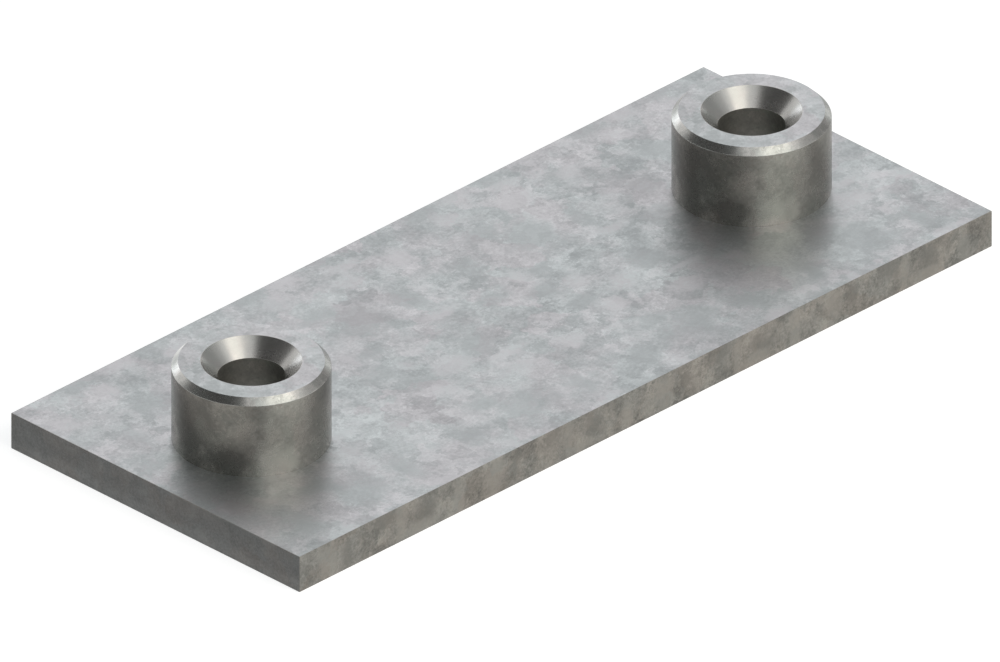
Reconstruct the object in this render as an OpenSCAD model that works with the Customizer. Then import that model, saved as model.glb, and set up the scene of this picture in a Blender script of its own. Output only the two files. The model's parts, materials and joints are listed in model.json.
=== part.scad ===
// Weld plate for a pipe clamp: a flat steel plate that carries two round threaded bosses.
// Each boss is turned from bar. Its shoulder is welded face to face to the plate, and a short
// pilot collar centres it in a hole of the plate. The plate itself is welded down round its
// underside, and the clamp stands on its top face, held by two screws in the bosses.
// Units are millimetres. The origin is the middle of the underside, X runs along the plate and
// Z points up.

/* [Plate] */
// Distance between the axes of the two bosses, the screw pitch of the clamp
boss_spacing = 52; // [20:1:120]
// Distance from the axis of a boss to the end of the plate beside it
end_distance = 10; // [8:0.5:20]
// Width of the plate
plate_width = 30; // [16:1:60]
// Thickness of the plate
plate_thickness = 3; // [2:0.5:8]

/* [Boss] */
// Outer diameter of a boss
boss_diameter = 11.8; // [10.6:0.1:14]
// Height of a boss above the plate
boss_height = 6.5; // [4:0.5:14]
// Width of the 45 degree chamfer round the top rim of a boss
rim_chamfer = 0.5; // [0.2:0.1:0.7]

/* [Thread] */
// Core diameter of the threaded bore, drawn as a smooth wall
bore_diameter = 5; // [4.2:0.1:5.2]
// Mouth diameter of the countersink above the bore
countersink_diameter = 7.5; // [6.5:0.1:9]
// Angle between opposite sides of the countersink
countersink_angle = 90; // [70:5:120]
// Width of the 45 degree lead chamfer at the lower end of the bore
lead_chamfer = 0.4; // [0.2:0.1:0.5]

/* [Pilot] */
// Diameter of the pilot collar under a boss
pilot_diameter = 8; // [7.6:0.1:9]
// Length of the pilot collar
pilot_length = 0.8; // [0.6:0.1:1.5]
// Width of the 45 degree chamfer round the lower end of the pilot collar
pilot_chamfer = 0.2; // [0.1:0.05:0.3]
// Gap between the pilot collar and its hole, all the way round
pilot_clearance = 0.1; // [0.05:0.05:0.4]

/* [Hidden] */

// Sides given to every circle
circle_sides = 96;
// How far a cutting shape runs past the face that it cuts
overrun = 1;

plate_length = boss_spacing + 2 * end_distance;
boss_radius = boss_diameter / 2;
bore_radius = bore_diameter / 2;
countersink_radius = countersink_diameter / 2;
countersink_depth = (countersink_radius - bore_radius) / tan(countersink_angle / 2);
pilot_radius = pilot_diameter / 2;
pilot_hole_radius = pilot_radius + pilot_clearance;

// Places along the plate, as the side of the middle that a boss stands on
left = -1;
right = 1;

function boss_x(side) = side * boss_spacing / 2;

// Half section of a boss, from its axis outwards. Height 0 is the shoulder that sits on the plate.
boss_section = [
    [bore_radius, boss_height - countersink_depth],
    [bore_radius, lead_chamfer - pilot_length],
    [bore_radius + lead_chamfer, -pilot_length],
    [pilot_radius - pilot_chamfer, -pilot_length],
    [pilot_radius, pilot_chamfer - pilot_length],
    [pilot_radius, 0],
    [boss_radius, 0],
    [boss_radius, boss_height - rim_chamfer],
    [boss_radius - rim_chamfer, boss_height],
    [countersink_radius, boss_height]
];

// Flat plate with sharp sawn edges and a pilot hole under each boss
module plate() {
    color([0.70, 0.71, 0.72])
    difference() {
        translate([-plate_length / 2, -plate_width / 2, 0])
        cube([plate_length, plate_width, plate_thickness]);
        for (side = [left, right])
            translate([boss_x(side), 0, -overrun])
            cylinder(r = pilot_hole_radius, h = plate_thickness + 2 * overrun, $fn = circle_sides);
    }
}

// Turned boss, revolved from its half section and stood on the plate
module threaded_boss(side) {
    color([0.62, 0.62, 0.61])
    translate([boss_x(side), 0, plate_thickness])
    rotate_extrude($fn = circle_sides)
    polygon(boss_section);
}

plate();
threaded_boss(left);  // threaded_boss_left
threaded_boss(right);  // threaded_boss_right
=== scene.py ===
"""Weld plate for a pipe clamp: a galvanised steel plate with two turned and countersunk bosses.

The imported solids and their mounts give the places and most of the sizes. The plate and the
bosses are built again here as closed surfaces of the same size with finely broken edges, and
get their zinc finish. Lengths are in metres, X runs along the plate and Z points up.
"""

import json
import math

import bpy
import numpy as np
from mathutils import Matrix, Vector


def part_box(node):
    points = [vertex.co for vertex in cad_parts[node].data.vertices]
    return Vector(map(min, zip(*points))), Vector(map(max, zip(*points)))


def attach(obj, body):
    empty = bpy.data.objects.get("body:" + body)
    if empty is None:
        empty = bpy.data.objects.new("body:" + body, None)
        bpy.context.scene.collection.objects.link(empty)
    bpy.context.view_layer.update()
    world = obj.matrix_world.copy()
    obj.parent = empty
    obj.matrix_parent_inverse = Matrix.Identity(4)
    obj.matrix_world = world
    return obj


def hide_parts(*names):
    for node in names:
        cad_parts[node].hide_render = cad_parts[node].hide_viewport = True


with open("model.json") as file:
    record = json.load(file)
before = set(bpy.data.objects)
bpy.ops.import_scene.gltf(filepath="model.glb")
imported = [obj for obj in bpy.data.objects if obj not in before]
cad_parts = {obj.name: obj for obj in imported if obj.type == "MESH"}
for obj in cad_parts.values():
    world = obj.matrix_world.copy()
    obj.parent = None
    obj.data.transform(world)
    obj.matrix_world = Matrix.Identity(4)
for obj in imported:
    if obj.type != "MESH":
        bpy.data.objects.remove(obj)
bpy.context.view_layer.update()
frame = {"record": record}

MM = 0.001
BODY = "root"


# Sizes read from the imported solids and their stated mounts

plate_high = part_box("plate")[1]
boss_low, boss_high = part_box("threaded_boss_right")
mounts = {mount["name"]: mount for mount in frame["record"]["mounts"]}

half_length, half_width, plate_top = plate_high
boss_axis = mounts["thread_right"]["pos_m"][0]
bore_radius = mounts["thread_right"]["dims"]["r_mm"] * MM
bore_length = mounts["thread_right"]["dims"]["length_mm"] * MM
boss_radius = mounts["boss_right"]["dims"]["r_mm"] * MM
wall_height = mounts["boss_right"]["dims"]["length_mm"] * MM
boss_top, pilot_bottom = boss_high[2], boss_low[2]

# Sizes that no mount states, the same as in the part's source
countersink_radius = 3.75 * MM
pilot_radius = 4.0 * MM
pilot_chamfer = 0.2 * MM
pilot_hole_radius = 4.1 * MM

rim_chamfer = boss_top - plate_top - wall_height
countersink_depth = countersink_radius - bore_radius
lead_chamfer = boss_top - countersink_depth - bore_length - pilot_bottom

# Radius that breaks every edge, the steps of its arc and their angles on a square edge
EDGE_RADIUS = 0.05 * MM
EDGE_STEPS = 4
QUARTER_TURN = np.linspace(0, math.pi / 2, EDGE_STEPS + 1)
# Half length and half width of the plate's flat faces, inside their broken edges
flat_x, flat_y = half_length - EDGE_RADIUS, half_width - EDGE_RADIUS
# Radius at the rim of a boss's shoulder, which sits on the plate without a groove
SEAM_RADIUS = 0.004 * MM
# Faces round a boss or a hole, and rings of faces between a hole and the plate's border
ROUND_STEPS = 144
FACE_RINGS = 8
# Points closer than this are the same vertex
WELD_DISTANCE = 0.0001 * MM


# Surfaces

def mesh_piece(name, grids, materials):
    """One closed mesh from grids of points that meet at their borders.

    Each grid is (points, normals, material numbers that spread over its rows and columns of
    faces). A face joins four neighbours of its grid, and points of different grids at the same
    place become one vertex, which keeps the normal given for it. A face with two corners in one
    place is a triangle.
    """
    points, normals, quads, numbers = [], [], [], []
    start = 0
    for grid, normal, grid_materials in grids:
        rows, columns = grid.shape[:2]
        index = start + np.arange(rows * columns).reshape(rows, columns)
        around = [index[:-1, :-1], index[1:, :-1], index[1:, 1:], index[:-1, 1:]]
        quads.append(np.stack(around, -1).reshape(-1, 4))
        numbers.append(np.broadcast_to(grid_materials, (rows - 1, columns - 1)).reshape(-1))
        points.append(grid.reshape(-1, 3))
        normals.append(np.broadcast_to(normal, grid.shape).reshape(-1, 3))
        start += rows * columns
    points, normals = np.concatenate(points), np.concatenate(normals)
    quads, numbers = np.concatenate(quads), np.concatenate(numbers)
    places = np.round(points / WELD_DISTANCE).astype(np.int64)
    _, first, same = np.unique(places, axis=0, return_index=True, return_inverse=True)
    quads = same.reshape(-1)[quads]
    joined = quads == np.roll(quads, -1, 1)
    whole, cut = joined.sum(1) == 0, joined.sum(1) == 1
    triangles = quads[cut][~joined[cut]].reshape(-1, 3)
    faces = quads[whole].tolist() + triangles.tolist()
    face_materials = np.concatenate([numbers[whole], numbers[cut]])

    mesh = bpy.data.meshes.new(name)
    mesh.from_pydata(points[first].tolist(), [], faces)
    mesh.polygons.foreach_set("material_index", face_materials.astype(np.int32))
    mesh.polygons.foreach_set("use_smooth", np.ones(len(faces), bool))
    mesh.normals_split_custom_set_from_vertices(normals[first].tolist())
    for material in materials:
        mesh.materials.append(material)
    mesh.update()
    piece = bpy.data.objects.new(name, mesh)
    bpy.context.scene.collection.objects.link(piece)
    return piece


def broken_profile(corners, radii, steps):
    """A closed outline with each corner replaced by a tangent arc, and the outward normals.

    The corners run anticlockwise, each with its own radius. At a corner with turn angle t the
    arc starts and ends radius * tan(t / 2) from the corner, and its normals turn evenly from one
    side's to the next. Returns points, normals and the number of the side that leaves each point.
    """
    corners = np.array(corners, float)
    along_in = corners - np.roll(corners, 1, 0)
    along_in /= np.linalg.norm(along_in, axis=1)[:, None]
    along_out = np.roll(along_in, -1, 0)
    normal_in = np.stack([along_in[:, 1], -along_in[:, 0]], -1)
    angle_in = np.arctan2(normal_in[:, 1], normal_in[:, 0])
    turn = np.arctan2(np.cross(along_in, along_out), (along_in * along_out).sum(1))
    back = radii * np.tan(np.abs(turn) / 2)
    signed_radii = radii * np.sign(turn)
    centres = corners - along_in * back[:, None] - normal_in * signed_radii[:, None]
    share = np.linspace(0, 1, steps + 1)
    angles = angle_in[:, None] + turn[:, None] * share
    normals = np.stack([np.cos(angles), np.sin(angles)], -1)
    points = centres[:, None] + normals * signed_radii[:, None, None]
    number = np.repeat(np.arange(len(corners)), steps + 1)
    return points.reshape(-1, 2), normals.reshape(-1, 2), number


def turned(corners, radii, side_materials, axis_x):
    """A profile of (radius, height) corners revolved about the upright line at axis_x.

    The point at angle a is (axis_x + r cos a, r sin a, z). The profile is a closed ring, so the
    surface has no poles. side_materials gives the material number of the side after each corner.
    """
    points, normals, number = broken_profile(corners, radii, EDGE_STEPS)
    points, normals = np.vstack([points, points[:1]]), np.vstack([normals, normals[:1]])
    angles = np.linspace(0, 2 * math.pi, ROUND_STEPS + 1)
    cos, sin = np.cos(angles), np.sin(angles)
    cos[-1], sin[-1] = cos[0], sin[0]

    def swept(ring, centre):
        heights = np.broadcast_to(ring[:, 1:], (len(ring), len(angles)))
        return np.stack([centre + ring[:, :1] * cos, ring[:, :1] * sin, heights], -1)[:, ::-1]

    row_materials = np.array(side_materials)[number][:, None]
    return swept(points, axis_x), swept(normals, 0.0), row_materials


def boss_piece(name, axis_x, materials):
    """A boss: pilot collar, shoulder, wall, rim chamfer, top ring, countersink and bore."""
    wall, chamfer, face, cone, bore = range(5)
    corners = [
        (bore_radius + lead_chamfer, pilot_bottom),
        (pilot_radius - pilot_chamfer, pilot_bottom),
        (pilot_radius, pilot_bottom + pilot_chamfer),
        (pilot_radius, plate_top),
        (boss_radius, plate_top),
        (boss_radius, boss_top - rim_chamfer),
        (boss_radius - rim_chamfer, boss_top),
        (countersink_radius, boss_top),
        (bore_radius, boss_top - countersink_depth),
        (bore_radius, pilot_bottom + lead_chamfer),
    ]
    sides = [wall, wall, wall, wall, wall, chamfer, face, cone, bore, cone]
    radii = np.full(len(corners), EDGE_RADIUS)
    radii[corners.index((boss_radius, plate_top))] = SEAM_RADIUS
    return mesh_piece(name, [turned(corners, radii, sides, axis_x)], materials)


def half_plate_rays():
    """Rays from a hole's axis to the border of one flat half of the plate.

    They are even in angle, and the rays that reach the four corners are added. Returns the
    cosine and the sine of each ray and the point of the border where it ends, on the nearer of
    the line across the plate and the line along it that the ray meets.
    """
    corners = np.array([(flat_x, -flat_y), (flat_x, flat_y), (0, flat_y), (0, -flat_y)])
    corner_angles = np.arctan2(corners[:, 1], corners[:, 0] - boss_axis)
    even_angles = np.linspace(-math.pi, math.pi, ROUND_STEPS + 1)
    angles = np.unique(np.concatenate([even_angles, corner_angles]))
    cos, sin = np.cos(angles), np.sin(angles)
    with np.errstate(divide="ignore"):
        reach_across = np.where(cos > 0, flat_x - boss_axis, -boss_axis) / cos
        reach_along = flat_y / np.abs(sin)
    reach = np.minimum(reach_across, reach_along)
    border = np.stack([boss_axis + reach * cos, reach * sin], -1)
    border[np.abs(border[:, 0]) < WELD_DISTANCE, 0] = 0
    border[-1] = border[0]
    return cos, sin, border


def thickness_profile():
    """The outline through the plate's thickness: an arc of a quarter turn, the side and an arc.

    Returns its heights, and how far its normals point sideways and upwards, as columns.
    """
    drop = EDGE_RADIUS * (1 - np.cos(QUARTER_TURN))
    height = np.concatenate([plate_top - drop, drop[::-1]])
    tilt = np.concatenate([QUARTER_TURN, math.pi - QUARTER_TURN[::-1]])
    return height[:, None], np.sin(tilt)[:, None], np.cos(tilt)[:, None]


def border_path(border):
    """The outer border of one half, from middle line to middle line, and the directions out of it.

    The border's points are put in order of angle about the plate's middle, and each of the two
    corners is repeated while the direction makes its quarter turn.
    """
    outside = border[:-1][border[:-1, 0] > 0]
    outside = outside[np.argsort(np.arctan2(outside[:, 1], outside[:, 0]))]
    path = np.vstack([(0, -flat_y), outside, (0, flat_y)])
    outward = np.zeros_like(path)
    on_end = np.abs(path[:, 0] - flat_x) < WELD_DISTANCE
    outward[on_end, 0] = 1
    outward[~on_end, 1] = np.sign(path[~on_end, 1])
    for corner, first in (((flat_x, -flat_y), -math.pi / 2), ((flat_x, flat_y), 0)):
        at = int(np.argmin(np.linalg.norm(path - corner, axis=1)))
        turn = first + QUARTER_TURN
        arc = np.stack([np.cos(turn), np.sin(turn)], -1)
        path = np.vstack([path[:at], np.repeat(path[at:at + 1], len(turn), 0), path[at + 1:]])
        outward = np.vstack([outward[:at], arc, outward[at + 1:]])
    return path, outward


def mirrored(points, normals, materials):
    """The mirror image of a grid in the plane x = 0, its columns turned round to face outwards."""
    mirror = np.array([-1.0, 1.0, 1.0])
    normals = np.broadcast_to(normals, points.shape)
    materials = np.broadcast_to(materials, points.shape[1] - 1)
    return points[:, ::-1] * mirror, normals[:, ::-1] * mirror, materials[::-1]


def plate_piece(name, materials):
    """The plate with its two pilot holes, built from one half and its mirror image.

    Each face is a fan of rays from the hole's edge to the border of the half. The hole's wall is
    the profile of the thickness carried round the rays, and the outer edge is the same profile
    carried along the border. The materials are those of the faces, the sides and the two ends.
    """
    face, side, end = range(3)
    cos, sin, border = half_plate_rays()
    height, sideways, upright = thickness_profile()

    hole_edge = pilot_hole_radius + EDGE_RADIUS
    hole = np.stack([boss_axis + hole_edge * cos, hole_edge * sin], -1)
    hole[-1] = hole[0]
    share = np.linspace(0, 1, FACE_RINGS + 1)[:, None, None]
    flat = hole + (border - hole) * share
    level = np.ones(flat.shape[:2] + (1,))
    top_face = (np.concatenate([flat, level * plate_top], -1), np.array([0, 0, 1.0]), face)
    under_face = (np.concatenate([flat, level * 0], -1)[::-1], np.array([0, 0, -1.0]), face)

    radius = hole_edge - EDGE_RADIUS * sideways
    every_ray = np.ones_like(cos)
    points = np.stack([boss_axis + radius * cos, radius * sin, height * every_ray], -1)
    normals = np.stack([-sideways * cos, -sideways * sin, upright * every_ray], -1)
    points[:, -1], normals[:, -1] = points[:, 0], normals[:, 0]
    hole_wall = (points[::-1], normals[::-1], side)

    path, outward = border_path(border)
    every_point = np.ones((len(path), 1))
    sideways, upright, height = sideways[..., None], upright[..., None], height[..., None]
    points = np.concatenate([path + outward * EDGE_RADIUS * sideways, height * every_point], -1)
    normals = np.concatenate([outward * sideways, upright * every_point], -1)
    towards_end = outward[:-1, 0] + outward[1:, 0] > math.sqrt(2)
    outer_edge = (points, normals, np.where(towards_end, end, side))

    half = [top_face, under_face, hole_wall, outer_edge]
    return mesh_piece(name, half + [mirrored(*grid) for grid in half], materials)


# Node helpers

def add_node(tree, kind, inputs=None, **settings):
    """Adds a node and returns it.

    Settings are its own properties. Inputs are values, or output sockets of other nodes, each
    under the name or number of its input.
    """
    node = tree.nodes.new(kind)
    for name, value in settings.items():
        setattr(node, name, value)
    for name, value in (inputs or {}).items():
        if isinstance(value, bpy.types.NodeSocket):
            tree.links.new(value, node.inputs[name])
        else:
            node.inputs[name].default_value = value
    return node


def maths(tree, operation, *values):
    inputs = dict(enumerate(values))
    return add_node(tree, "ShaderNodeMath", inputs, operation=operation).outputs[0]


def vector_maths(tree, operation, inputs, output=0):
    return add_node(tree, "ShaderNodeVectorMath", inputs, operation=operation).outputs[output]


def noise(tree, vector, scale, detail, roughness, output="Fac"):
    inputs = {"Vector": vector, "Scale": scale, "Detail": detail, "Roughness": roughness}
    return add_node(tree, "ShaderNodeTexNoise", inputs).outputs[output]


def ramp(tree, value, low, high, to_low=0.0, to_high=1.0):
    """A smooth step from to_low, where the value is low or less, to to_high at high or more."""
    inputs = {"Value": value, 1: low, 2: high, 3: to_low, 4: to_high}
    return add_node(tree, "ShaderNodeMapRange", inputs, interpolation_type="SMOOTHSTEP").outputs[0]


def mix_colours(tree, factor, first, second, blend="MIX"):
    inputs = {0: factor, 6: first, 7: second}
    return add_node(tree, "ShaderNodeMix", inputs, data_type="RGBA", blend_type=blend).outputs[2]


def new_group(name, inputs, outputs):
    """A shader node group with named sockets. Returns its tree and the sockets inside it."""
    tree = bpy.data.node_groups.new(name, "ShaderNodeTree")
    for label, kind, value in inputs:
        socket = tree.interface.new_socket(label, in_out="INPUT", socket_type="NodeSocket" + kind)
        socket.default_value = value
    for label, kind in outputs:
        tree.interface.new_socket(label, in_out="OUTPUT", socket_type="NodeSocket" + kind)
    return tree, tree.nodes.new("NodeGroupInput").outputs, tree.nodes.new("NodeGroupOutput").inputs


# The zinc bloom, shared by every finish

# Noises as (scale, detail, roughness), with the scale in waves to one flake size
SWIRL_NOISE = (1.6, 6.0, 0.68)
CLOUD_NOISE = (1.2, 8.0, 0.74)
DARK_NOISE = (0.55, 5.0, 0.6)
VEIN_NOISE = (0.9, 3.0, 0.6)
VEINED_NOISE = (0.8, 2.0, 0.5)
GRAIN_NOISE = (10.0, 4.0, 0.8)
HUE_NOISE = (0.7, 5.0, 0.62)
# How far the swirl drags the edges of the cells, in flake sizes
SWIRL_REACH = 1.5
# Cells to one flake size, and how far each part swings the tone
WIDE_CELLS, WIDE_SWING = 0.8, 0.26
SMALL_CELLS, SMALL_SWING = 2.1, 0.36
CLOUD_SWING, GRAIN_SWING = 1.9, 1.1
# Where a noise makes a dark flake, and the tone it takes away
DARK_START, DARK_FULL, DARK_SWING = 0.60, 0.64, -0.25
# Half width of a vein on its noise, its light, and where another noise lets veins show
VEIN_WIDTH, VEIN_LIGHT = 0.03, 0.3
VEINED_START, VEINED_FULL = 0.42, 0.58
# Shares of the wide cells and of the tone in the hue, and its ends
HUE_FROM_CELLS, HUE_FROM_TONE = 0.35, -0.35
PINK_HUE, GREEN_HUE = 0.45, 0.9


def zinc_bloom_group():
    """Overlapping zinc flakes with ragged edges, clouds, thin light veins and a fine grain.

    Tone runs round 0.5. It adds two sizes of cells whose edges a noise makes ragged, one even
    tone to a cell, clouds with much fine detail, a few dark flakes where a noise passes a
    threshold, and veins where another noise crosses its middle. Tint runs from 0, pink, to 1,
    green, and is greener where the tone is dark. Grain is the finest speckle alone.
    """
    tree, given, put = new_group(
        "zinc bloom",
        [("Vector", "Vector", (0, 0, 0)), ("Flake Size mm", "Float", 3.0),
         ("Seed", "Vector", (0, 0, 0)), ("Flakes", "Float", 1.0), ("Clouds", "Float", 1.0),
         ("Veins", "Float", 1.0), ("Speckle", "Float", 1.0)],
        [("Tone", "Float"), ("Tint", "Float"), ("Grain", "Float")])
    per_metre = maths(tree, "DIVIDE", 1 / MM, given["Flake Size mm"])
    place = vector_maths(tree, "SCALE", {0: given["Vector"], "Scale": per_metre})
    place = vector_maths(tree, "ADD", {0: place, 1: given["Seed"]})
    swirl = noise(tree, place, *SWIRL_NOISE, output="Color")
    swirl = vector_maths(tree, "SUBTRACT", {0: swirl, 1: (0.5, 0.5, 0.5)})
    ragged = vector_maths(tree, "MULTIPLY_ADD", {0: swirl, 1: (SWIRL_REACH,) * 3, 2: place})

    wide = add_node(tree, "ShaderNodeTexVoronoi", {"Vector": ragged, "Scale": WIDE_CELLS})
    small = add_node(tree, "ShaderNodeTexVoronoi", {"Vector": ragged, "Scale": SMALL_CELLS})
    wide_tone = add_node(tree, "ShaderNodeSeparateColor", {0: wide.outputs["Color"]}).outputs
    small_tone = add_node(tree, "ShaderNodeSeparateColor", {0: small.outputs["Color"]}).outputs
    wide_part = maths(tree, "MULTIPLY", maths(tree, "SUBTRACT", wide_tone[0], 0.5), WIDE_SWING)
    small_part = maths(tree, "SUBTRACT", small_tone[0], 0.5)
    small_part = maths(tree, "MULTIPLY", small_part, SMALL_SWING)
    flakes = maths(tree, "ADD", wide_part, small_part)
    flakes = maths(tree, "MULTIPLY", flakes, given["Flakes"])

    cloud = maths(tree, "SUBTRACT", noise(tree, place, *CLOUD_NOISE), 0.5)
    dark = ramp(tree, noise(tree, ragged, *DARK_NOISE), DARK_START, DARK_FULL)
    dark = maths(tree, "MULTIPLY", dark, DARK_SWING)
    clouds = maths(tree, "MULTIPLY_ADD", cloud, CLOUD_SWING, dark)
    clouds = maths(tree, "MULTIPLY", clouds, given["Clouds"])
    patches = maths(tree, "ADD", flakes, clouds)

    middle = maths(tree, "SUBTRACT", noise(tree, ragged, *VEIN_NOISE), 0.5)
    vein = ramp(tree, maths(tree, "ABSOLUTE", middle), 0.0, VEIN_WIDTH, 1.0, 0.0)
    veined = ramp(tree, noise(tree, place, *VEINED_NOISE), VEINED_START, VEINED_FULL)
    vein = maths(tree, "MULTIPLY", maths(tree, "MULTIPLY", vein, veined), VEIN_LIGHT)
    veins = maths(tree, "MULTIPLY", vein, given["Veins"])

    grain = maths(tree, "SUBTRACT", noise(tree, place, *GRAIN_NOISE), 0.5)
    speckle = maths(tree, "MULTIPLY", grain, GRAIN_SWING)
    speckle = maths(tree, "MULTIPLY", speckle, given["Speckle"])
    tone = maths(tree, "ADD", patches, maths(tree, "ADD", speckle, 0.5))
    tone = maths(tree, "ADD", tone, veins)
    hue = noise(tree, place, *HUE_NOISE)
    hue = maths(tree, "MULTIPLY_ADD", wide_tone[1], HUE_FROM_CELLS, hue)
    hue = maths(tree, "MULTIPLY_ADD", patches, HUE_FROM_TONE, hue)
    tree.links.new(tone, put["Tone"])
    tree.links.new(ramp(tree, hue, PINK_HUE, GREEN_HUE), put["Tint"])
    tree.links.new(maths(tree, "ADD", grain, 0.5), put["Grain"])
    return tree


# The largest flakes of the zinc in millimetres, read off the photograph to the nearest half; those
# of the bosses' walls are painted shade and painted light

# Flakes of the plate's faces, as (x, y, half length, half width). Like the photograph's
# pattern, they come back at one pitch along the plate and across it.
FLAKE_PITCH = 17.5
FACE_DARK_FLAKES = [
    (9, 6.5, 2.5, 2),
    (7.5, 9, 2, 1),
    (3, 6, 1, 1.5),
    (1, 2, 1.5, 1),
    (6.5, 2.5, 1, 0.5),
    (4.5, 0, 1.5, 1),
    (5.5, -3, 1.5, 1),
    (-4.5, -2, 1.5, 1.5),
    (-3.5, 6, 1, 1.5),
]
FACE_LIGHT_FLAKES = [
    (9.5, -3, 1.5, 1),
    (7, -0.5, 1, 1),
    (6.5, -5, 1, 1),
    (-3.5, -4.5, 2, 0.5),
    (0.5, -6.5, 1, 1),
    (-3, 3, 1.5, 0.5),
    (4.5, 3, 0.5, 1),
    (-5, -6.5, 1.5, 1),
]

# Flakes of the plate's long sides, as (x + y, height, half length, half height)
SIDE_DARK_FLAKES = [(-38, 1.5, 1, 1), (-46, 1.5, 0.5, 1), (-42, 2.5, 1, 1)]
SIDE_LIGHT_FLAKES = [
    (-40.5, 1.5, 0.5, 2),
    (-48, 1.5, 1, 1.5),
    (-38.5, 0.5, 1.5, 0.5),
    (-34.5, 1.5, 0.5, 1.5),
]

# Painted shade on the left of a boss's wall and painted light on its right, as
# (x - y from its axis, height, half length, half height)
WALL_PAINTED_SHADE = [(-6, 6, 2.5, 4.5), (-2.5, 4, 2, 1)]
WALL_PAINTED_LIGHT = [(3, 4, 2, 1.5), (-1, 6.5, 1.5, 1)]

# A pitch wider than the part, at which a flake comes only once
ONCE = 100
# Where a large patch starts to fade and where it ends, in its half sizes
FLAKE_FULL, FLAKE_END = 0.5, 1.4
# How far a large patch pulls the tone to its own
FLAKE_PULL = 0.7
# The noise of a large patch's outline, in waves to a metre, and how far it swings, in half sizes
OUTLINE_NOISE = (550.0, 6.0, 0.75)
OUTLINE_SWING = 3.6


def large_patches(tree, place, wobble, pitch, flakes):
    """A mask of single large flakes that come back at a pitch, all in millimetres.

    The patches are zinc flakes, and on a boss's wall painted shade and painted light. The distance
    to a patch's middle is measured in its half sizes, and is below 1 inside. The place is first
    wrapped to half a pitch round that middle, and wobble makes the outline ragged.
    """
    half_pitch = Vector(pitch) * (MM / 2)
    mask = None
    for x, y, half_x, half_y in flakes:
        away = vector_maths(tree, "SUBTRACT", {0: place, 1: (x * MM, y * MM, 0)})
        away = vector_maths(tree, "WRAP", {0: away, 1: half_pitch, 2: -half_pitch})
        away = vector_maths(tree, "MULTIPLY", {0: away, 1: (1 / half_x / MM, 1 / half_y / MM, 0)})
        distance = maths(tree, "ADD", vector_maths(tree, "LENGTH", {0: away}, "Value"), wobble)
        inside = ramp(tree, distance, FLAKE_FULL, FLAKE_END, 1.0, 0.0)
        mask = inside if mask is None else maths(tree, "MAXIMUM", mask, inside)
    return mask


# Finishes

# Tones at the ends of the change of gloss, and its swing in roughness
MATT_TONE, BRIGHT_TONE, ROUGHNESS_SWING = 0.2, 0.8, 0.04
# Height of the grain in millimetres, and how much of it the bump shows
TOOTH, TOOTH_STRENGTH = 0.004, 0.5


def empty_material(name):
    """A material with only an output. Returns it, its tree and the output's surface socket."""
    material = bpy.data.materials.new(name)
    material.use_nodes = True
    tree = material.node_tree
    for node in list(tree.nodes):
        tree.nodes.remove(node)
    return material, tree, tree.nodes.new("ShaderNodeOutputMaterial").inputs["Surface"]


def from_boss_axis(tree, place):
    """The place measured from the foot of the axis of the boss that it is on."""
    side = maths(tree, "SIGN", add_node(tree, "ShaderNodeSeparateXYZ", {0: place}).outputs[0])
    axis_x = maths(tree, "MULTIPLY", side, boss_axis)
    axis = add_node(tree, "ShaderNodeCombineXYZ", {"X": axis_x}).outputs[0]
    return vector_maths(tree, "SUBTRACT", {0: place, 1: axis})


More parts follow.
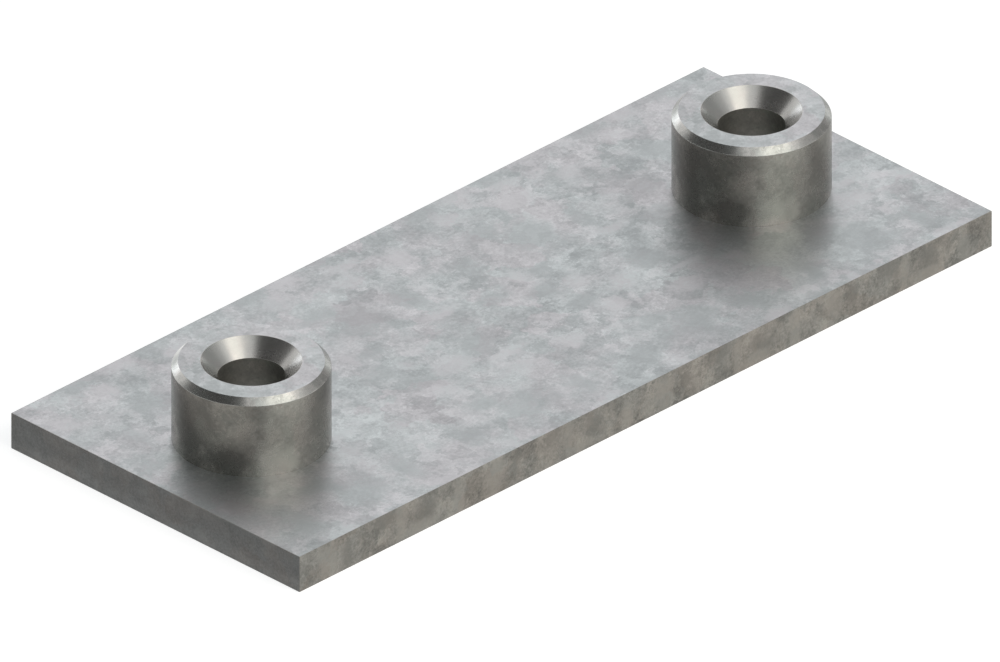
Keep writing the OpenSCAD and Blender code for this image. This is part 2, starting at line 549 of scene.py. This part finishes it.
def zinc_finish(name, dark, light, tints, metallic, roughness, seed, flake_size=3.0, flakes=1.0,
                clouds=1.0, veins=1.0, speckle=1.0, tooth=TOOTH, rim_shine=1.0, on_boss=False,
                axes=None, pitch=None, dark_flakes_and_painted_shade=(), light_flakes_and_painted_light=(), levels=(0.25, 0.76),
                flake_hue=0.0):
    """Zinc over steel: tones from a dark to a light colour, a pink and a green tint, a fine tooth.

    The dark and the light large patches are placed on the two coordinates that axes measures,
    and levels are their tones. On the plate they are zinc flakes; on a boss's wall the dark ones
    are painted shade on its left and the light ones painted light on its right. flake_hue is how
    much greener they are by being darker. Both bosses have the same patches. rim_shine below 1
    dulls the surface where it is seen almost edge on.
    """
    material, tree, surface = empty_material(name)
    place = add_node(tree, "ShaderNodeTexCoord").outputs["Object"]
    if on_boss:
        place = from_boss_axis(tree, place)
    bloom_inputs = {"Vector": place, "Flake Size mm": flake_size, "Seed": seed, "Flakes": flakes,
                    "Clouds": clouds, "Veins": veins, "Speckle": speckle}
    bloom = add_node(tree, "ShaderNodeGroup", bloom_inputs, node_tree=zinc_bloom).outputs
    tone = bloom["Tone"]
    if axes:
        along = [vector_maths(tree, "DOT_PRODUCT", {0: place, 1: axis}, "Value") for axis in axes]
        flat = add_node(tree, "ShaderNodeCombineXYZ", {"X": along[0], "Y": along[1]}).outputs[0]
        wobble = noise(tree, place, *OUTLINE_NOISE)
        wobble = maths(tree, "MULTIPLY_ADD", wobble, OUTLINE_SWING, -OUTLINE_SWING / 2)
        for spots, level in zip((dark_flakes_and_painted_shade, light_flakes_and_painted_light), levels):
            inside = large_patches(tree, flat, wobble, pitch, spots)
            inside = maths(tree, "MULTIPLY", inside, FLAKE_PULL)
            missing = maths(tree, "SUBTRACT", level, tone)
            tone = maths(tree, "MULTIPLY_ADD", missing, inside, tone)

    colour = mix_colours(tree, tone, (*dark, 1), (*light, 1))
    pink, green = tints
    darker = maths(tree, "SUBTRACT", bloom["Tone"], tone)
    hue = maths(tree, "MULTIPLY_ADD", darker, flake_hue, bloom["Tint"])
    tint = mix_colours(tree, hue, (*pink, 1), (*green, 1))
    colour = mix_colours(tree, 1.0, colour, tint, "MULTIPLY")
    rough = ramp(tree, bloom["Tone"], MATT_TONE, BRIGHT_TONE,
                 roughness + ROUGHNESS_SWING, roughness - ROUGHNESS_SWING)
    shader = add_node(tree, "ShaderNodeBsdfPrincipled", {
        "Base Color": colour, "Roughness": rough, "Metallic": metallic,
        "Specular Tint": (rim_shine, rim_shine, rim_shine, 1)})
    if tooth:
        bump = add_node(tree, "ShaderNodeBump", {
            "Height": bloom["Grain"], "Strength": TOOTH_STRENGTH, "Distance": tooth * MM})
        tree.links.new(bump.outputs["Normal"], shader.inputs["Normal"])
    tree.links.new(shader.outputs["BSDF"], surface)
    return material


# Tints as a pink and a green colour
COOL_TINTS = ((0.99, 0.978, 0.99), (0.947, 1.0, 0.995))
WARM_TINTS = ((1.0, 0.957, 0.908), (0.967, 0.981, 0.96))
BOSS_TINTS = ((1.0, 0.98, 0.955), (0.97, 1.0, 0.972))

zinc_bloom = zinc_bloom_group()
zinc_face = zinc_finish(
    "zinc_face", dark=(0.384, 0.384, 0.395), light=(0.638, 0.64, 0.652), tints=COOL_TINTS,
    metallic=1.0, roughness=0.40, seed=(0, 0, 0), clouds=0.8, speckle=1.2, rim_shine=0.75,
    axes=[(1, 0, 0), (0, 1, 0)], pitch=(FLAKE_PITCH, FLAKE_PITCH, 1),
    dark_flakes_and_painted_shade=FACE_DARK_FLAKES, light_flakes_and_painted_light=FACE_LIGHT_FLAKES, flake_hue=1.7)
# The plate's sides and ends are darker than its faces, partly as sawn steel and partly as painted
# shade of its upright faces
sawn_and_shaded_edge = zinc_finish(
    "sawn_and_shaded_edge", dark=(0.12, 0.117, 0.109), light=(0.37, 0.36, 0.342), tints=WARM_TINTS,
    metallic=0.12, roughness=0.5, seed=(3, 5, 1), flake_size=2.3, flakes=0.85, clouds=0.92,
    speckle=1.2, axes=[(1, 1, 0), (0, 0, 1)], pitch=(FLAKE_PITCH, ONCE, 1),
    dark_flakes_and_painted_shade=SIDE_DARK_FLAKES, light_flakes_and_painted_light=SIDE_LIGHT_FLAKES, levels=(0.3, 0.76))
sawn_and_shaded_end = zinc_finish(
    "sawn_and_shaded_end", dark=(0.12, 0.1175, 0.1145), light=(0.405, 0.395, 0.39), tints=WARM_TINTS,
    metallic=0.12, roughness=0.5, seed=(3, 5, 1), flake_size=2.0, flakes=0.3, clouds=0.42,
    veins=0.5, speckle=0.9)
# The dark patches on each boss's wall are painted shade on its left, pulled to tone 0.17, and the
# light ones are painted light on its right, pulled to 0.8
turned_wall = zinc_finish(
    "turned_wall", dark=(0.10, 0.098, 0.093), light=(0.58, 0.552, 0.505), tints=BOSS_TINTS,
    metallic=0.97, roughness=0.28, seed=(7, 2, 4), flakes=0.35, clouds=0.35, veins=0.0,
    speckle=0.5, on_boss=True, axes=[(1, -1, 0), (0, 0, 1)], pitch=(ONCE, ONCE, 1),
    dark_flakes_and_painted_shade=WALL_PAINTED_SHADE, light_flakes_and_painted_light=WALL_PAINTED_LIGHT, levels=(0.17, 0.8))
turned_chamfer = zinc_finish(
    "turned_chamfer", dark=(0.29, 0.29, 0.284), light=(0.555, 0.553, 0.54), tints=BOSS_TINTS,
    metallic=1.0, roughness=0.25, seed=(1, 8, 6), flake_size=1.6, veins=0.5, speckle=0.25,
    tooth=0, on_boss=True)
turned_cone = zinc_finish(
    "turned_cone", dark=(0.382, 0.38, 0.373), light=(0.538, 0.535, 0.528), tints=BOSS_TINTS,
    metallic=1.0, roughness=0.25, seed=(2, 8, 3), flakes=0.3, clouds=0.4, veins=0.0,
    speckle=0.1, tooth=0, on_boss=True)
boss_face = zinc_finish(
    "boss_face", dark=(0.378, 0.378, 0.384), light=(0.652, 0.654, 0.667), tints=COOL_TINTS,
    metallic=1.0, roughness=0.38, seed=(4, 1, 8), clouds=0.7, rim_shine=0.75, on_boss=True)
bore_wall = zinc_finish(
    "bore_wall", dark=(0.23, 0.228, 0.219), light=(0.49, 0.485, 0.466), tints=BOSS_TINTS,
    metallic=0.9, roughness=0.38, seed=(5, 1, 9), veins=0.0, on_boss=True)

plate = plate_piece("zinc_plate", [zinc_face, sawn_and_shaded_edge, sawn_and_shaded_end])
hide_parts("plate")
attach(plate, BODY)
for side, node in ((-1, "threaded_boss_left"), (1, "threaded_boss_right")):
    boss = boss_piece(node.replace("threaded", "turned"), side * boss_axis,
                      [turned_wall, turned_chamfer, boss_face, turned_cone, bore_wall])
    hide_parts(node)
    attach(boss, BODY)


# Camera, the photograph's parallel view from 30 degrees above at 45 degrees to the plate

CAMERA_AZIMUTH, CAMERA_ELEVATION = 225, 30
CAMERA_DISTANCE = 0.5
PICTURE_WIDTH = 1000
PIXELS_PER_MM = 13.603
# How far right of and above the picture's middle the middle of the plate's top lies
TOP_RIGHT, TOP_ABOVE = 0.112 * MM, 1.405 * MM


def direction(azimuth, elevation):
    """The unit vector at two angles in degrees, from +X round to +Y and up from the floor."""
    a, e = math.radians(azimuth), math.radians(elevation)
    return Vector((math.cos(a) * math.cos(e), math.sin(a) * math.cos(e), math.sin(e)))


backward = direction(CAMERA_AZIMUTH, CAMERA_ELEVATION)
rightward = direction(CAMERA_AZIMUTH + 90, 0)
upward = backward.cross(rightward)
aim = Vector((0, 0, plate_top)) - rightward * TOP_RIGHT - upward * TOP_ABOVE
camera_data = bpy.data.cameras.new("camera")
camera_data.type = "ORTHO"
camera_data.ortho_scale = PICTURE_WIDTH / PIXELS_PER_MM * MM
camera = bpy.data.objects.new("camera", camera_data)
bpy.context.scene.collection.objects.link(camera)
turn = Matrix((rightward, upward, backward)).transposed().to_4x4()
camera.matrix_world = Matrix.Translation(aim + backward * CAMERA_DISTANCE) @ turn
bpy.context.scene.camera = camera


# Floor, cards, lamps and world

FLOOR_SIZE = 8.0
FLOOR_GREY = 0.45
# The floor's own glow near the lamps and away from them, and the distances between
LIT_GLOW, UNLIT_GLOW = 0.78, 0.9
LIT_RADIUS, UNLIT_RADIUS = 0.1, 0.8
SKY_COLOUR = (0.88, 0.95, 1.0, 1)
SKY_LIGHT = 0.42
KEY_COLOUR = (1.0, 0.93, 0.82)
FRONT_COLOUR = (1.0, 0.94, 0.84)
STRIP_COLOUR = (0.88, 0.93, 1.0)

# Cards on the table past each end of the plate
TABLE_CARD_WIDTH, TABLE_CARD_DEPTH = 0.10, 0.14
TABLE_CARD_AWAY, TABLE_CARD_LIFT = 0.0865, 0.0005
LEFT_TABLE_GREY, RIGHT_TABLE_GREY = 0.5, 0.6


def aimed(obj, azimuth, elevation, distance):
    """Puts obj in a direction at a distance in metres and turns its face to the object."""
    away = direction(azimuth, elevation)
    turn = away.to_track_quat("Z", "Y").to_matrix().to_4x4()
    obj.matrix_world = Matrix.Translation(away * distance) @ turn
    return obj


def softbox(name, width, height, radiance, colour):
    """A rectangular lamp that shows the given radiance: its power is pi times area times that."""
    lamp = bpy.data.lights.new(name, "AREA")
    lamp.shape = "RECTANGLE"
    lamp.size, lamp.size_y = width, height
    lamp.energy = math.pi * width * height * radiance
    lamp.color = colour
    obj = bpy.data.objects.new(name, lamp)
    bpy.context.scene.collection.objects.link(obj)
    return obj


def stage_sheet(name, width, height, material):
    mesh = bpy.data.meshes.new(name)
    x, y = width / 2, height / 2
    mesh.from_pydata([(-x, -y, 0), (x, -y, 0), (x, y, 0), (-x, y, 0)], [], [(0, 1, 2, 3)])
    mesh.materials.append(material)
    sheet = bpy.data.objects.new(name, mesh)
    bpy.context.scene.collection.objects.link(sheet)
    return sheet


def grey_card(name, width, height, grey):
    """A card beside the object that shows only in its reflections."""
    material, tree, surface = empty_material(name)
    shine = add_node(tree, "ShaderNodeEmission", {"Color": (grey, grey, grey, 1)})
    tree.links.new(shine.outputs[0], surface)
    card = stage_sheet(name, width, height, material)
    card.visible_camera = False
    card.visible_diffuse = False
    card.visible_shadow = False
    return card


def seen_directly(tree):
    """1 for rays from the camera, a reflection or through glass, and 0 for those that only light."""
    path = add_node(tree, "ShaderNodeLightPath").outputs
    seen = maths(tree, "MAXIMUM", path["Is Camera Ray"], path["Is Glossy Ray"])
    return maths(tree, "MAXIMUM", seen, path["Is Transmission Ray"])


def white_floor():
    """A wide matt floor that looks white and still takes the object's soft shadow.

    Away from the lamps it glows more, so that it stays as white as the world behind it.
    """
    material, tree, surface = empty_material("floor")
    grey = (FLOOR_GREY, FLOOR_GREY, FLOOR_GREY, 1)
    matt = add_node(tree, "ShaderNodeBsdfDiffuse", {"Color": grey})
    place = add_node(tree, "ShaderNodeTexCoord").outputs["Object"]
    distance = vector_maths(tree, "LENGTH", {0: place}, "Value")
    strength = ramp(tree, distance, LIT_RADIUS, UNLIT_RADIUS, LIT_GLOW, UNLIT_GLOW)
    strength = maths(tree, "MULTIPLY", seen_directly(tree), strength)
    glow = add_node(tree, "ShaderNodeEmission", {"Strength": strength})
    both = add_node(tree, "ShaderNodeAddShader", {0: matt.outputs[0], 1: glow.outputs[0]})
    tree.links.new(both.outputs[0], surface)
    stage_sheet("floor", FLOOR_SIZE, FLOOR_SIZE, material)


def studio_world():
    """A dim cool sky that lights the object, and plain white wherever it is seen."""
    world = bpy.data.worlds.new("studio")
    bpy.context.scene.world = world
    world.use_nodes = True
    tree = world.node_tree
    for node in list(tree.nodes):
        tree.nodes.remove(node)
    sky = add_node(tree, "ShaderNodeBackground", {"Color": SKY_COLOUR, "Strength": SKY_LIGHT})
    white = add_node(tree, "ShaderNodeBackground", {"Color": (1, 1, 1, 1), "Strength": 1.0})
    shown = {0: seen_directly(tree), 1: sky.outputs[0], 2: white.outputs[0]}
    either = add_node(tree, "ShaderNodeMixShader", shown)
    add_node(tree, "ShaderNodeOutputWorld", {"Surface": either.outputs[0]})


white_floor()
studio_world()

# Each lamp and card has its sizes and light, then azimuth and elevation in degrees and distance
aimed(softbox("key_softbox", 0.24, 0.28, 0.95, KEY_COLOUR), 277, 54, 0.5)
aimed(softbox("front_glow", 0.5, 0.26, 0.36, FRONT_COLOUR), 268, 30, 0.6)
front_fill = aimed(softbox("front_fill", 0.6, 0.5, 2.5, FRONT_COLOUR), 278, 36, 0.7)
front_fill.visible_glossy = False
aimed(softbox("low_strip", 0.30, 0.10, 1.5, STRIP_COLOUR), 80, 9, 0.6)
aimed(grey_card("left_card", 0.84, 0.30, 0.08), 158, 52, 0.5)
aimed(grey_card("left_low_card", 0.40, 0.24, 0.50), 136, 21, 0.6)
aimed(grey_card("right_card", 0.34, 0.34, 0.42), 347, 21, 0.5)
aimed(grey_card("right_high_card", 0.16, 0.13, 0.55), 325, 37, 0.5)
aimed(grey_card("front_card", 0.56, 0.28, 0.3), 198, 25, 0.5)
for side, grey in ((-1, LEFT_TABLE_GREY), (1, RIGHT_TABLE_GREY)):
    table_card = grey_card("table_card", TABLE_CARD_WIDTH, TABLE_CARD_DEPTH, grey)
    table_card.matrix_world = Matrix.Translation((side * TABLE_CARD_AWAY, 0, TABLE_CARD_LIFT))

bpy.context.scene.view_settings.view_transform = "Standard"
